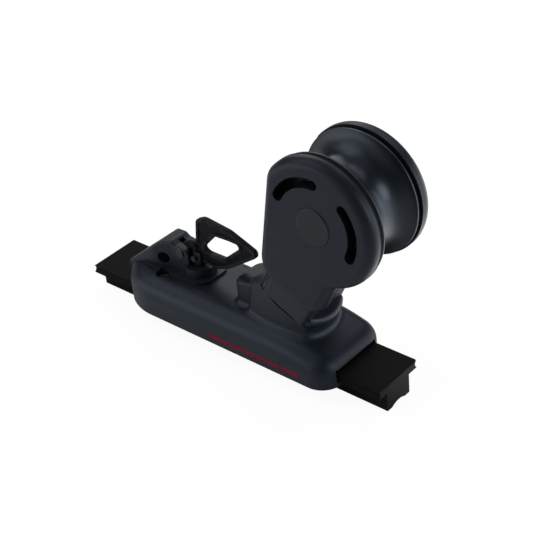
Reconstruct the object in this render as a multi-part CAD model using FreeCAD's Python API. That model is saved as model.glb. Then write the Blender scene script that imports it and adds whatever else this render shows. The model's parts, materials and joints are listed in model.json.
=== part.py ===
import FreeCAD, Part
import math
import os

# A genoa lead car on its short loader rail, in millimetres.
# X runs along the rail with the sheave block at +X, Y runs across it with the
# near side at -Y, and Z is up. The origin is at the bottom centre of the rail.

# The loader rail, a plastic T section
rail_length = 173.0
rail_height = 13.9
flange_width = 27.0
flange_thickness = 4.2
stem_width = 15.8
relief_width = 9.0
relief_depth = 1.3
rail_end_chamfer = 0.6

# The bearing balls, their load lane beside the flange and return lane above it
ball_diameter = 4.0
ball_play = 0.1
lane_depth = 1.0
lane_rise = 5.4
ball_pitch = 4.6
lane_front = 57.0
lane_back = -50.0

# The car body
body_front = 65.0
body_back = -66.0
body_half_width = 21.2
body_skirt = 7.0
crown_height = 25.5
nose_reach = 25.2
front_corner_radius = 10.6
shoulder_radius = 9.4
crown_bend_start = 32.0
crown_bend_radius = 88.0
side_clearance = 0.4
roof_clearance = 1.6
lip_clearance = 0.3
stem_clearance = 0.7
front_seam = 58.5
back_seam = -52.0

# The raked block axis and its turning seat on the car
rake = 27.0
sheave_x = 62.8
sheave_z = 91.1
seat_level = -60.8
turret_radius = 18.0
turret_offset = 1.0
cheek_gap = 27.0
seat_bow_radius = 55.0
seat_overhang = 0.1
buttress_left = 13.6
buttress_lean = 1.27
buttress_top = 41.0
buttress_rise = 3.66
buttress_run = 12.0
pedestal_corner_radius = 3.0
toe_back = 3.9
toe_height = 11.5
toe_rise = 2.2
toe_half_width = 9.4
toe_corner_radius = 4.5
toe_edge_radius = 1.4
toe_foot_radius = 2.5
foot_radius = 3.5
foot_front = 50.5

# The king pin that the block turns on
king_diameter = 12.0
king_head_diameter = 17.0
king_head_thickness = 4.0
king_seat_depth = 13.8
king_reach = 14.0
king_key = 6.0
bush_wall = 2.0
bush_flange_thickness = 1.2
bush_flange_width = 1.6
washer_thickness = 0.8
washer_setback = 1.2
running_gap = 0.1
bore_play = 0.05

# The cheeks
cheek_radius = 29.0
cheek_thickness = 6.5
cheek_edge_radius = 4.5
cheek_back = 26.4
cheek_back_corner = 11.0
tongue_bottom = -45.2
tongue_front = 19.0
tongue_taper = 16.4
tongue_back_corner = 14.0
tongue_front_corner = 10.0
neck_radius = 2.0
slot_circle_radius = 19.4
slot_width = 4.6
slot_start = 23.5
slot_end = 90.0
cheek_screw_spread = 8.5
cheek_screw_level = -37.0
cheek_screw_diameter = 5.0
cheek_screw_head = 8.5
cheek_screw_head_depth = 4.0
cheek_screw_bite = 4.0

# The block base between the cheeks
base_shoulder = 4.0
base_half_length = 12.4
base_top_clearance = 1.3
base_edge_radius = 2.5

# The sheave and its roller bearing
sheave_radius = 28.3
sheave_width = 24.8
rim_land = 1.4
tread_depth = 9.0
liner_wall = 1.2
roller_diameter = 5.0
roller_length = 17.0
roller_count = 10
sleeve_radius = 8.5
cage_length = 21.0
cage_wall = 3.4
thrust_ring_width = 2.0
thrust_ring_thickness = 0.9
side_recess_depth = 1.6
side_recess_inner = 17.6
side_recess_outer = 25.0

# The axle
axle_diameter = 12.0
axle_head_diameter = 16.8
axle_head_thickness = 2.4
axle_head_proud = 0.4
axle_screw_diameter = 8.0
axle_screw_length = 16.0

# The stop pin, its spring and the lever that lifts it
stop_x = -25.0
stop_tip_gap = 0.3
stop_diameter = 7.0
stop_upper_diameter = 5.6
stop_collar_diameter = 9.2
stop_collar_level = 18.0
stop_collar_thickness = 1.5
stop_play = 0.1
spring_wire = 0.8
spring_turns = 5.0
spring_top_rise = 4.0
spring_bore_diameter = 9.8
stop_top_rise = 2.8
fork_gap = 3.1
fork_depth = 5.6
lift_pin_diameter = 3.0
lift_pin_length = 8.6
lift_pin_drop = 1.7
lift_slot_play = 0.2
pivot_x = -31.8
pivot_rise = 10.8
pivot_diameter = 3.5
pivot_head_diameter = 4.4
pivot_head_thickness = 0.7
lever_thickness = 2.6
hub_radius = 3.6
lever_rim_width = 1.7
lever_recess = 0.4
lever_edge = 0.5

# The pin housing on the nose of the car
housing_half_width = 5.5
foot_half_width = 8.7
flare_radius = 10.0
housing_edge_radius = 1.0
housing_setback = 1.5
housing_root = 9.5
nose_drop = 3.0
ridge_back = -44.9
ridge_back_rise = 13.0
ridge_front = -37.4
ridge_front_rise = 15.4
ridge_step = 2.6
ear_back_rise = 13.8
ear_front_rise = 12.8
flare_start = -47.0
flare_end = -37.0
pad_half_width = 10.0
pad_thickness = 1.1
pad_back = -56.0
pad_front = -15.0
pad_corner = 6.0
boss_diameter = 15.0
boss_rise = 5.2
ear_gap = 3.2
pin_well_width = 6.4
pin_well_start = -28.4
ear_front = -27.0
slot_rise = 6.1
slot_back = -36.3
tie_hole_diameter = 6.0
tie_hole_x = -41.8
tie_hole_rise = 5.5

# The screws that hold the end caps and the housing
screw_diameter = 2.4
screw_head = 4.8
screw_head_height = 1.8
tongue_thickness = 2.8
tongue_half_width = 11.4
cap_tongue_length = 9.0
cap_screw_y = 5.0
cap_screw_length = 4.0
cup_x = -39.5
cup_y = 11.1
cup_radius = 4.1
cup_wall = 0.9
cup_depth = 5.1
cup_base = 1.2
housing_screw_length = 4.4

V = FreeCAD.Vector
X_AXIS = V(1, 0, 0)
Y_AXIS = V(0, 1, 0)
Z_AXIS = V(0, 0, 1)
BIG = 400.0

# Sizes that follow from the driving ones
pivot_z = crown_height + pivot_rise
lift_pin_level = pivot_z - lift_pin_drop
fork_floor = lift_pin_level - fork_depth
stop_top = lift_pin_level + stop_top_rise
spring_top = crown_height + spring_top_rise
boss_top = crown_height + boss_rise
slot_floor = crown_height + slot_rise
tie_hole_z = crown_height + tie_hole_rise
cup_floor = crown_height - cup_depth
flange_bottom = rail_height - flange_thickness
flange_middle = rail_height - flange_thickness / 2
channel_half = flange_width / 2 + side_clearance
channel_roof = rail_height + roof_clearance
lip_top = flange_bottom - lip_clearance
lip_inner = stem_width / 2 + stem_clearance
lane_radius = ball_diameter / 2 + ball_play
lane_y = flange_width / 2 + lane_radius - lane_depth
return_z = flange_middle + lane_rise
cheek_inner = cheek_gap / 2
seat_half_width = cheek_inner + seat_overhang
cheek_outer = cheek_inner + cheek_thickness
base_level = seat_level + washer_thickness + running_gap
king_seat = seat_level - king_seat_depth
king_head_top = king_seat - washer_thickness - running_gap
bush_outer = king_diameter / 2 + bore_play + bush_wall
roller_circle = sleeve_radius + bore_play + roller_diameter / 2
liner_bore = roller_circle + roller_diameter / 2 + bore_play
liner_outer = liner_bore + liner_wall
lever_arm = stop_x - pivot_x

os.makedirs("parts", exist_ok=True)


def save(shape, node):
    shape = shape.removeSplitter()
    assert shape.isValid(), node
    shape.exportStep("parts/" + node + ".step")
    return shape


def box(x0, x1, y0, y1, z0, z1):
    return Part.makeBox(x1 - x0, y1 - y0, z1 - z0, V(x0, y0, z0))


def rod(radius, start, end):
    """A round bar from one point to another."""
    along = end.sub(start)
    return Part.makeCylinder(radius, along.Length, start, along)


def across(radius, x, z, y0, y1):
    """A round bar along Y."""
    return rod(radius, V(x, y0, z), V(x, y1, z))


def upright(radius, x, y, z0, z1):
    """A round bar along Z."""
    return rod(radius, V(x, y, z0), V(x, y, z1))


def tube(outer, inner, y0, y1):
    """A ring about the Y axis through the origin."""
    return across(outer, 0, 0, y0, y1).cut(across(inner, 0, 0, y0 - 1, y1 + 1))


def mirrored(shape):
    """The same shape on the other side of the XZ plane."""
    return shape.mirror(V(0, 0, 0), Y_AXIS)


def both_sides(shape):
    return shape.fuse(mirrored(shape))


def polygon(points):
    return Part.makePolygon(points + [points[0]])


def rounded_outline(corners):
    """A closed wire in the XZ plane: each corner is (x, z, radius)."""
    edges = []
    count = len(corners)
    starts = []
    ends = []
    middles = []
    for i in range(count):
        x, z, radius = corners[i]
        here = V(x, 0, z)
        before = V(corners[i - 1][0], 0, corners[i - 1][1])
        after = V(corners[(i + 1) % count][0], 0, corners[(i + 1) % count][1])
        if radius == 0:
            starts.append(here)
            ends.append(here)
            middles.append(None)
            continue
        to_before = before.sub(here).normalize()
        to_after = after.sub(here).normalize()
        half = to_before.getAngle(to_after) / 2
        reach = radius / math.tan(half)
        starts.append(here.add(to_before.multiply(reach)))
        ends.append(here.add(V(to_after).multiply(reach)))
        bisector = starts[-1].sub(here).add(ends[-1].sub(here)).normalize()
        middles.append(here.add(bisector.multiply(radius / math.sin(half) - radius)))
    for i in range(count):
        if middles[i] is not None:
            edges.append(Part.Arc(starts[i], middles[i], ends[i]).toShape())
        following = starts[(i + 1) % count]
        if ends[i].distanceToPoint(following) > 1e-6:
            edges.append(Part.makeLine(ends[i], following))
    return Part.Wire(edges)


def plate(wire, y0, y1):
    """A wire in the XZ plane made into a plate between two Y levels."""
    face = Part.Face(wire)
    face.translate(V(0, y0, 0))
    return face.extrude(V(0, y1 - y0, 0))


def raked(shape):
    """Move a shape from the block's own frame to its place on the car.

    In the block's own frame the sheave centre is the origin, Y is the sheave
    axis and Z is the raked axis that the block turns about.
    """
    placed = shape.copy()
    placed.rotate(V(0, 0, 0), Y_AXIS, rake)
    placed.translate(V(sheave_x, 0, sheave_z))
    return placed


def turned(radius, level, height):
    """A round bar about the king pin's axis, in the block's own frame."""
    return Part.makeCylinder(radius, height, V(turret_offset, 0, level))


def cheek_screw_places():
    return turret_offset - cheek_screw_spread, turret_offset + cheek_screw_spread


def edges_where(shape, test):
    return [edge for edge in shape.Edges if test(edge)]


# The loader rail
def make_rail():
    half = rail_length / 2
    flange = box(-half, half, -flange_width / 2, flange_width / 2, flange_bottom, rail_height)
    stem = box(-half, half, -stem_width / 2, stem_width / 2, 0, flange_bottom)
    rail = flange.fuse(stem)
    relief_radius = (relief_width ** 2 / 4 + relief_depth ** 2) / (2 * relief_depth)
    relief_centre = relief_depth - relief_radius
    rail = rail.cut(rod(relief_radius, V(-BIG, 0, relief_centre), V(BIG, 0, relief_centre)))
    groove = rod(lane_radius, V(-BIG, lane_y, flange_middle), V(BIG, lane_y, flange_middle))
    rail = rail.cut(both_sides(groove)).removeSplitter()
    ends = edges_where(rail, lambda e: e.BoundBox.XLength < 1e-6 and e.BoundBox.ZMin > rail_height - 1e-6)
    return rail.makeChamfer(rail_end_chamfer, ends)


# The car body with its end caps
def body_outline():
    """Plan of the car: an elliptic nose at the back, a squarer front."""
    w = body_half_width
    r = front_corner_radius
    nose_x = body_back + nose_reach
    nose = Part.Ellipse(V(nose_x, 0, 0), nose_reach, w)
    knee = r * (1 - math.sqrt(0.5))
    edges = [
        Part.ArcOfEllipse(nose, math.pi / 2, 3 * math.pi / 2).toShape(),
        Part.makeLine(V(nose_x, -w, 0), V(body_front - r, -w, 0)),
        Part.Arc(V(body_front - r, -w, 0), V(body_front - knee, knee - w, 0),
                 V(body_front, r - w, 0)).toShape(),
        Part.makeLine(V(body_front, r - w, 0), V(body_front, w - r, 0)),
        Part.Arc(V(body_front, w - r, 0), V(body_front - knee, w - knee, 0),
                 V(body_front - r, w, 0)).toShape(),
        Part.makeLine(V(body_front - r, w, 0), V(nose_x, w, 0)),
    ]
    return Part.Wire(edges)


def make_loaf():
    """The whole outside of the car, before the seams and openings."""
    face = Part.Face(body_outline())
    face.translate(V(0, 0, body_skirt))
    block = face.extrude(V(0, 0, crown_height))
    bend = Part.makeCylinder(crown_bend_radius, 4 * body_half_width,
                             V(crown_bend_start, -2 * body_half_width, crown_height - crown_bend_radius),
                             Y_AXIS)
    flat = box(-BIG, crown_bend_start, -BIG, BIG, 0, crown_height)
    block = block.common(flat.fuse(bend)).removeSplitter()
    lowest_crown = crown_height - crown_bend_radius + math.sqrt(
        crown_bend_radius ** 2 - (body_front - crown_bend_start) ** 2)
    top = edges_where(block, lambda e: e.BoundBox.ZMin > lowest_crown - 0.5 and not (
        e.BoundBox.YLength > 2 * body_half_width - 0.1 and e.BoundBox.XLength < 0.1))
    return block.makeFillet(shoulder_radius, top)


def bowed(level, height, inset=0):
    """The room between the bowed sides of the seat, in the block's own frame."""
    near = Part.makeCylinder(seat_bow_radius - inset, height,
                             V(turret_offset, seat_bow_radius - seat_half_width, level))
    return near.common(mirrored(near))


def make_toe():
    """The low rounded foot behind the seat, with a top that slopes up to it."""
    low = rail_height + 3
    front = buttress_left + buttress_lean + 1
    block = box(toe_back, front, -toe_half_width, toe_half_width, low, crown_height + 30)
    block = block.makeFillet(toe_corner_radius, edges_where(block, lambda e: e.BoundBox.ZLength > 1
                                                            and e.BoundBox.XMax < toe_back + 0.1))
    side = polygon([V(toe_back - 1, 0, low), V(toe_back - 1, 0, crown_height + toe_height),
                    V(toe_back, 0, crown_height + toe_height), V(front, 0, crown_height + toe_height + toe_rise), V(front, 0, low)])
    block = block.common(plate(side, -BIG, BIG)).removeSplitter()
    top = edges_where(block, lambda e: e.BoundBox.ZMin > crown_height + toe_height - 0.1 and e.BoundBox.XMin < front - 0.1)
    return block.makeFillet(toe_edge_radius, top)


def make_pedestal():
    """The raked seat that stands on the crown, in place."""
    half = seat_half_width
    low = rail_height + 3
    column = raked(turned(turret_radius, seat_level - 60, 60))
    column = column.common(box(-BIG, BIG, -half, half, low, BIG))
    lean = buttress_lean * (low - crown_height) / (buttress_top - crown_height)
    top_x = buttress_left + buttress_lean
    ledge = polygon([V(buttress_left + lean, 0, low),
                     V(top_x, 0, buttress_top),
                     V(top_x + buttress_run, 0, buttress_top + buttress_rise),
                     V(top_x + buttress_run, 0, low)])
    column = column.fuse(plate(ledge, -half, half))
    steep = (top_x - buttress_left - lean) / (buttress_top - low)
    in_front = polygon([V(buttress_left + lean, 0, low),
                        V(buttress_left + lean + 80 * steep, 0, low + 80),
                        V(BIG, 0, low + 80),
                        V(BIG, 0, low)])
    column = column.common(plate(in_front, -half, half))
    below = raked(Part.makeCylinder(BIG, BIG, V(0, 0, seat_level - BIG)))
    column = column.common(below).common(raked(bowed(seat_level - 60, 80))).removeSplitter()
    upright_edges = edges_where(column, lambda e: e.BoundBox.ZLength > 12 and e.BoundBox.YLength < 3
                                and e.BoundBox.YMin * e.BoundBox.YMax > 1
                                and e.BoundBox.XLength < e.BoundBox.ZLength
                                and (e.BoundBox.XMax < top_x + 1 or e.BoundBox.XMin > crown_bend_start))
    return column.makeFillet(pedestal_corner_radius, upright_edges)


def make_lanes():
    """The path of the balls: a load lane, a return lane and their two turns."""
    middle = flange_middle + lane_rise / 2
    path = None
    for z in (flange_middle, return_z):
        lane = rod(lane_radius, V(lane_back, lane_y, z), V(lane_front, lane_y, z))
        path = lane if path is None else path.fuse(lane)
    for x in (lane_back, lane_front):
        turn = Part.makeTorus(lane_rise / 2, lane_radius, V(x, lane_y, middle), Y_AXIS)
        outside = box(x, BIG, -BIG, BIG, -BIG, BIG) if x > 0 else box(-BIG, x, -BIG, BIG, -BIG, BIG)
        path = path.fuse(turn.common(outside))
    return both_sides(path)


def channel():
    flange_room = box(-BIG, BIG, -channel_half, channel_half, lip_top, channel_roof)
    stem_room = box(-BIG, BIG, -lip_inner, lip_inner, 0, lip_top + 1)
    return flange_room.fuse(stem_room)


def screw(x, y, seat, length, up):
    """A small socket screw along Z: up is 1 with the head above the seat."""
    shank = upright(screw_diameter / 2, x, y, seat - length, seat)
    head = upright(screw_head / 2, x, y, seat, seat + screw_head_height)
    key = upright(screw_diameter / 2 - 0.2, x, y, seat + 0.5, seat + 4)
    whole = shank.fuse(head).cut(key)
    return whole if up > 0 else whole.mirror(V(0, 0, seat), Z_AXIS)


def screw_hole(x, y, seat, length, up):
    """Room for that screw, with its head sunk below the face it enters."""
    shank = upright(screw_diameter / 2 + bore_play, x, y, seat - length - 0.3, seat + 1)
    head = upright(screw_head / 2 + 0.25, x, y, seat, seat + screw_head_height + 6)
    whole = shank.fuse(head)
    return whole if up > 0 else whole.mirror(V(0, 0, seat), Z_AXIS)


def cap_screw_places():
    """Where the two screws of each end cap stand, front then back."""
    front_x = front_seam - cap_tongue_length / 2
    back_x = back_seam + cap_tongue_length / 2
    return [[(front_x, -cap_screw_y), (front_x, cap_screw_y)],
            [(back_x, -cap_screw_y), (back_x, cap_screw_y)]]


cap_screw_seat = channel_roof + screw_head_height + 0.2


def cap_tongue(seam, direction):
    """The flat tongue that an end cap slides over the channel."""
    end = seam + direction * cap_tongue_length
    return box(min(seam, end), max(seam, end), -tongue_half_width, tongue_half_width,
               channel_roof, channel_roof + tongue_thickness)


def make_cap_screws(index):
    return Part.makeCompound([screw(x, y, cap_screw_seat, cap_screw_length, -1)
                              for x, y in cap_screw_places()[index]])


def cap_screw_holes(index):
    holes = [screw_hole(x, y, cap_screw_seat, cap_screw_length, -1) for x, y in cap_screw_places()[index]]
    return holes[0].fuse(holes[1])


def make_car(loaf):
    body = loaf.common(box(back_seam, front_seam, -BIG, BIG, -BIG, BIG))
    pedestal = make_pedestal()
    body = body.fuse(pedestal).removeSplitter()
    body = fillet_foot(body)
    body = add_toe(body)
    body = body.cut(channel()).cut(make_lanes())
    king_room = turned(king_head_diameter / 2 + 0.5, king_seat - 11.5, 11.5)
    king_bore = turned(bush_outer, king_seat, king_seat_depth + 1)
    flange_room = turned(bush_outer + bush_flange_width, seat_level - bush_flange_thickness,
                         bush_flange_thickness + 1)
    body = body.cut(raked(king_room)).cut(raked(king_bore)).cut(raked(flange_room))
    body = body.cut(upright(stop_diameter / 2 + stop_play, stop_x, 0, 0, BIG))
    body = body.cut(upright(spring_bore_diameter / 2, stop_x, 0, stop_collar_level, BIG))
    body = body.cut(cap_tongue(front_seam, -1)).cut(cap_tongue(back_seam, 1))
    body = body.cut(cap_screw_holes(0)).cut(cap_screw_holes(1))
    cup = upright(cup_radius, cup_x, cup_y, cup_floor, BIG)
    shank = upright(screw_diameter / 2 + bore_play, cup_x, cup_y, cup_floor - housing_screw_length, BIG)
    return body.cut(both_sides(cup.fuse(shank)))


def fillet_foot(body):
    """Blend the pedestal into the crown."""
    half = seat_half_width

    def at_foot(edge):
        b = edge.BoundBox
        level = b.ZMin > crown_height - 2 and b.ZMax < crown_height + 0.5
        inside = b.YMin > -half - 0.3 and b.YMax < half + 0.3
        return level and inside and buttress_left - 1 < b.XMin and b.XMax < foot_front

    return body.makeFillet(foot_radius, edges_where(body, at_foot))


def add_toe(body):
    """Join the toe to the crown behind the pedestal and blend its foot."""
    body = body.fuse(make_toe()).removeSplitter()

    def at_toe(edge):
        b = edge.BoundBox
        level = b.ZMin > crown_height - 0.1 and b.ZMax < crown_height + 0.1
        inside = b.YMin > -toe_half_width - 0.1 and b.YMax < toe_half_width + 0.1
        return level and inside and toe_back - 0.1 < b.XMin and b.XMax < buttress_left + 1

    return body.makeFillet(toe_foot_radius, edges_where(body, at_toe))


def make_caps(loaf):
    lanes = make_lanes()
    front = loaf.common(box(front_seam, BIG, -BIG, BIG, -BIG, BIG)).cut(channel()).cut(lanes)
    back = loaf.common(box(-BIG, back_seam, -BIG, BIG, -BIG, BIG)).cut(channel()).cut(lanes)
    front = front.fuse(cap_tongue(front_seam, -1)).cut(cap_screw_holes(0))
    back = back.fuse(cap_tongue(back_seam, 1)).cut(cap_screw_holes(1))
    return front, back


def make_balls():
    balls = []
    count = int((lane_front - lane_back - ball_diameter) / ball_pitch)
    start = (lane_front + lane_back) / 2 - ball_pitch * (count - 1) / 2
    for i in range(count):
        balls.append(Part.makeSphere(ball_diameter / 2, V(start + i * ball_pitch, lane_y, flange_middle)))
    return Part.makeCompound(balls)


# The pin housing, the stop pin and its lever
def housing_outline():
    """The housing from the side: its rise over the nose, its ridge and its ears."""
    low = crown_height - housing_root
    return rounded_outline([
        (body_back + housing_setback, low, 0),
        (body_back + housing_setback, crown_height - nose_drop, 0),
        (ridge_back, crown_height + ridge_back_rise, 4.0),
        (ridge_front, crown_height + ridge_front_rise, 2.2),
        (ridge_front + ridge_step, crown_height + ear_back_rise, 2.0),
        (ear_front, crown_height + ear_front_rise, 3.0),
        (ear_front, low, 0),
    ])


def housing_plan():
    """The wedge seen from above: wide at the nose, narrow at the ears."""
    w = foot_half_width
    n = housing_half_width
    points = [(body_back, -w), (flare_start, -w), (flare_end, -n), (ear_front, -n),
              (ear_front, n), (flare_end, n), (flare_start, w), (body_back, w)]
    plan = Part.Face(polygon([V(x, y, 0) for x, y in points]))
    return plan.extrude(V(0, 0, 60))


def make_pad(loaf):
    """The foot of the housing: a thin sheet that follows the crown."""
    pad = Part.makeBox(pad_front - pad_back, 2 * pad_half_width, 20, V(pad_back, -pad_half_width, 12))
    corners = edges_where(pad, lambda e: e.BoundBox.ZLength > 1)
    pad = pad.makeFillet(pad_corner, corners)
    sheet = pad.common(loaf.translated(V(0, 0, pad_thickness)))
    return sheet.cut(loaf)


def make_housing(loaf):
    wedge = plate(housing_outline(), -foot_half_width, foot_half_width).common(housing_plan())
    wedge = wedge.removeSplitter()
    wedge = wedge.makeFillet(flare_radius, edges_where(wedge, lambda e: e.BoundBox.XLength < 1e-6
                                                       and e.BoundBox.YLength < 1e-6
                                                       and body_back + 5 < e.BoundBox.XMin < ear_front - 5))
    wedge = wedge.makeFillet(housing_edge_radius, edges_where(wedge, on_wedge_top))
    boss = upright(boss_diameter / 2, stop_x, 0, crown_height - 4, boss_top)
    housing = wedge.fuse(boss).cut(loaf).fuse(make_pad(loaf))
    cups = both_sides(upright(cup_radius, cup_x, cup_y, cup_floor, crown_height))
    housing = housing.fuse(cups.common(loaf))
    slot = box(slot_back, BIG, -ear_gap / 2, ear_gap / 2, slot_floor, BIG)
    well = box(pin_well_start, BIG, -pin_well_width / 2, pin_well_width / 2, boss_top, BIG)
    housing = housing.cut(slot).cut(well)
    housing = housing.cut(upright(spring_bore_diameter / 2, stop_x, 0, 0, spring_top))
    housing = housing.cut(upright(stop_upper_diameter / 2 + stop_play, stop_x, 0, 0, BIG))
    housing = housing.cut(across(pivot_diameter / 2 + bore_play, pivot_x, pivot_z, -BIG, BIG))
    housing = housing.cut(across(tie_hole_diameter / 2, tie_hole_x, tie_hole_z, -BIG, BIG))
    inside = upright(cup_radius - cup_wall, cup_x, cup_y, cup_floor + cup_base, crown_height + 20)
    inside = inside.fuse(upright(screw_diameter / 2 + bore_play, cup_x, cup_y, 0, crown_height))
    return housing.cut(both_sides(inside.cut(wedge_core())))


def on_wedge_top(edge):
    b = edge.BoundBox
    return b.XLength > 0.2 and b.ZMin > body_skirt + 12 and b.YLength < foot_half_width


def wedge_core():
    """The part of the wedge that the screw cups may not cut."""
    core = plate(housing_outline(), -foot_half_width, foot_half_width).common(housing_plan())
    return core.common(box(-BIG, BIG, -BIG, BIG, crown_height, BIG))


def make_housing_screws():
    seat = cup_floor + cup_base
    return both_sides(screw(cup_x, cup_y, seat, housing_screw_length, 1))


def make_stop_pin():
    tip = rail_height + stop_tip_gap
    lower = upright(stop_diameter / 2, stop_x, 0, tip, stop_collar_level)
    lower = lower.makeChamfer(0.6, edges_where(lower, lambda e: e.BoundBox.ZMax < tip + 0.01))
    collar_top = stop_collar_level + stop_collar_thickness
    collar = upright(stop_collar_diameter / 2, stop_x, 0, stop_collar_level, collar_top)
    upper = upright(stop_upper_diameter / 2, stop_x, 0, collar_top, stop_top)
    pin = lower.fuse(collar).fuse(upper)
    pin = pin.cut(box(stop_x - 10, stop_x + 10, -fork_gap / 2, fork_gap / 2, fork_floor, BIG))
    return pin.cut(across(lift_pin_diameter / 2, stop_x, lift_pin_level, -BIG, BIG))


def make_lift_pin():
    half = lift_pin_length / 2
    return across(lift_pin_diameter / 2, stop_x, lift_pin_level, -half, half)


def make_spring():
    bottom = stop_collar_level + stop_collar_thickness
    height = spring_top - bottom - spring_wire
    radius = (stop_upper_diameter + stop_collar_diameter) / 4
    helix = Part.makeHelix(height / spring_turns, height, radius)
    section = Part.Wire(Part.makeCircle(spring_wire / 2, V(radius, 0, 0), Y_AXIS))
    coil = Part.Wire(helix).makePipeShell([section], True, True)
    coil.translate(V(stop_x, 0, bottom + spring_wire / 2))
    return coil


def make_pivot_pin():
    half = housing_half_width
    pin = across(pivot_diameter / 2, pivot_x, pivot_z, -half, half + 0.4)
    head = across(pivot_head_diameter / 2, pivot_x, pivot_z, -half - pivot_head_thickness, -half)
    return pin.fuse(head)


def lever_corners():
    """The lever from the side, from its pivot: its neck, then the loop of its handle."""
    return from_pivot([
        (0, -hub_radius, 0),
        (19.3, -4.4, 9.0),
        (27.2, -1.0, 9.0),
        (43.8, 10.5, 2.6),
        (43.4, 13.5, 2.2),
        (28.8, 19.3, 14.0),
        (13.4, 21.2, 5.0),
        (8.5, 18.9, 3.2),
        (6.9, 7.1, 3.0),
        (0, hub_radius, 0),
    ])


def window_corners():
    """The finger hole of the handle, from the pivot."""
    return from_pivot([
        (10.9, 4.3, 1.5),
        (19.6, 13.6, 3.5),
        (28.3, 14.0, 8.0),
        (36.2, 13.7, 1.6),
        (23.3, 2.6, 5.0),
        (15.3, 2.6, 3.5),
    ])


def from_pivot(corners):
    return [(pivot_x + ahead, pivot_z + above, radius) for ahead, above, radius in corners]


def make_lever():
    half = lever_thickness / 2
    outline = rounded_outline(lever_corners())
    hub = across(hub_radius, pivot_x, pivot_z, -half, half)
    lever = plate(outline, -half, half).cut(plate(rounded_outline(window_corners()), -half - 1, half + 1))
    recess = Part.Face(outline).makeOffset2D(-lever_rim_width)
    recess = recess.cut(Part.Face(rounded_outline(window_corners())).makeOffset2D(lever_rim_width))
    recess = recess.common(plate_face(ear_front + lever_rim_width))
    lever = lever.fuse(hub).removeSplitter()
    rims = edges_where(lever, lambda e: e.BoundBox.YLength < 1e-6 and e.BoundBox.XMin > pivot_x - 0.1)
    lever = lever.makeFillet(lever_edge, rims)
    for y in (-half - 1, half - lever_recess):
        sunk = recess.copy()
        sunk.translate(V(0, y, 0))
        lever = lever.cut(sunk.extrude(V(0, lever_recess + 1, 0)))
    lever = lever.cut(across(pivot_diameter / 2 + bore_play, pivot_x, pivot_z, -BIG, BIG))
    drop = lift_pin_level - pivot_z
    reach = math.hypot(lever_arm, drop)
    slot = both_ends_slot(reach - 0.4, reach + 0.8, lift_pin_diameter / 2 + lift_slot_play)
    slot.rotate(V(0, 0, 0), Y_AXIS, -math.degrees(math.atan2(drop, lever_arm)))
    slot.translate(V(pivot_x, 0, pivot_z))
    return lever.cut(slot)


def plate_face(x):
    """Everything ahead of x as a flat face in the XZ plane."""
    return Part.Face(polygon([V(x, 0, -BIG), V(BIG, 0, -BIG), V(BIG, 0, BIG), V(x, 0, BIG)]))


def both_ends_slot(start, end, half_width):
    """A straight slot along X with round ends, cut along Y."""
    middle = box(start, end, -10, 10, -half_width, half_width)
    return middle.fuse(across(half_width, start, 0, -10, 10)).fuse(across(half_width, end, 0, -10, 10))


# The block, in its own frame
def make_base():
    turret = turned(turret_radius, base_level, base_shoulder)
    turret = turret.common(bowed(base_level, base_shoulder))
    corners = edges_where(turret, lambda e: e.BoundBox.ZLength > 1 and e.BoundBox.YMin * e.BoundBox.YMax > 1)
    turret = turret.makeFillet(pedestal_corner_radius, corners)
    top_edge = edges_where(turret, lambda e: e.BoundBox.ZMin > base_level + base_shoulder - 0.01)
    turret = turret.makeFillet(base_edge_radius, top_edge)
    neck = box(turret_offset - base_half_length, turret_offset + base_half_length,
               -cheek_inner, cheek_inner, base_level, -sheave_radius * 0.6)
    upright_edges = edges_where(neck, lambda e: e.BoundBox.ZLength > 1)
    neck = neck.makeFillet(base_edge_radius, upright_edges)
    base = turret.fuse(neck)
    base = base.cut(across(sheave_radius + base_top_clearance, 0, 0, -BIG, BIG))
    base = base.cut(turned(king_diameter / 2, base_level, king_reach + 0.5))
    for x in cheek_screw_places():
        base = base.cut(across(cheek_screw_diameter / 2 + bore_play, x, cheek_screw_level, -BIG, BIG))
    return base.removeSplitter()


def make_king_pin():
    foot = king_head_top - king_head_thickness
    head = turned(king_head_diameter / 2, foot, king_head_thickness)
    head = head.makeChamfer(0.5, edges_where(head, lambda e: e.BoundBox.ZMax < foot + 0.01))
    top = base_level + king_reach
    shank = turned(king_diameter / 2, king_head_top, top - king_head_top)
    shank = shank.makeChamfer(0.8, edges_where(shank, lambda e: e.BoundBox.ZMin > top - 0.01))
    reach = king_key / math.sqrt(3)
    corners = [V(turret_offset + reach * math.cos(math.radians(60 * i)),
                 reach * math.sin(math.radians(60 * i)), foot - 1) for i in range(6)]
    key = Part.Face(polygon(corners)).extrude(V(0, 0, 3.5))
    return head.fuse(shank).cut(key)


def make_bush():
    bore = king_diameter / 2 + bore_play
    sleeve = turned(bush_outer, king_seat, king_seat_depth)
    flange = turned(bush_outer + bush_flange_width, seat_level - bush_flange_thickness, bush_flange_thickness)
    return sleeve.fuse(flange).cut(turned(bore, king_seat - 20, 60))


def make_washer(outer, level):
    ring = turned(outer, level, washer_thickness)
    return ring.cut(turned(king_diameter / 2 + 0.2, level - 5, 10))


def make_top_washer():
    ring = make_washer(turret_radius - washer_setback, seat_level)
    return ring.common(bowed(seat_level, washer_thickness, washer_setback))


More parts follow.
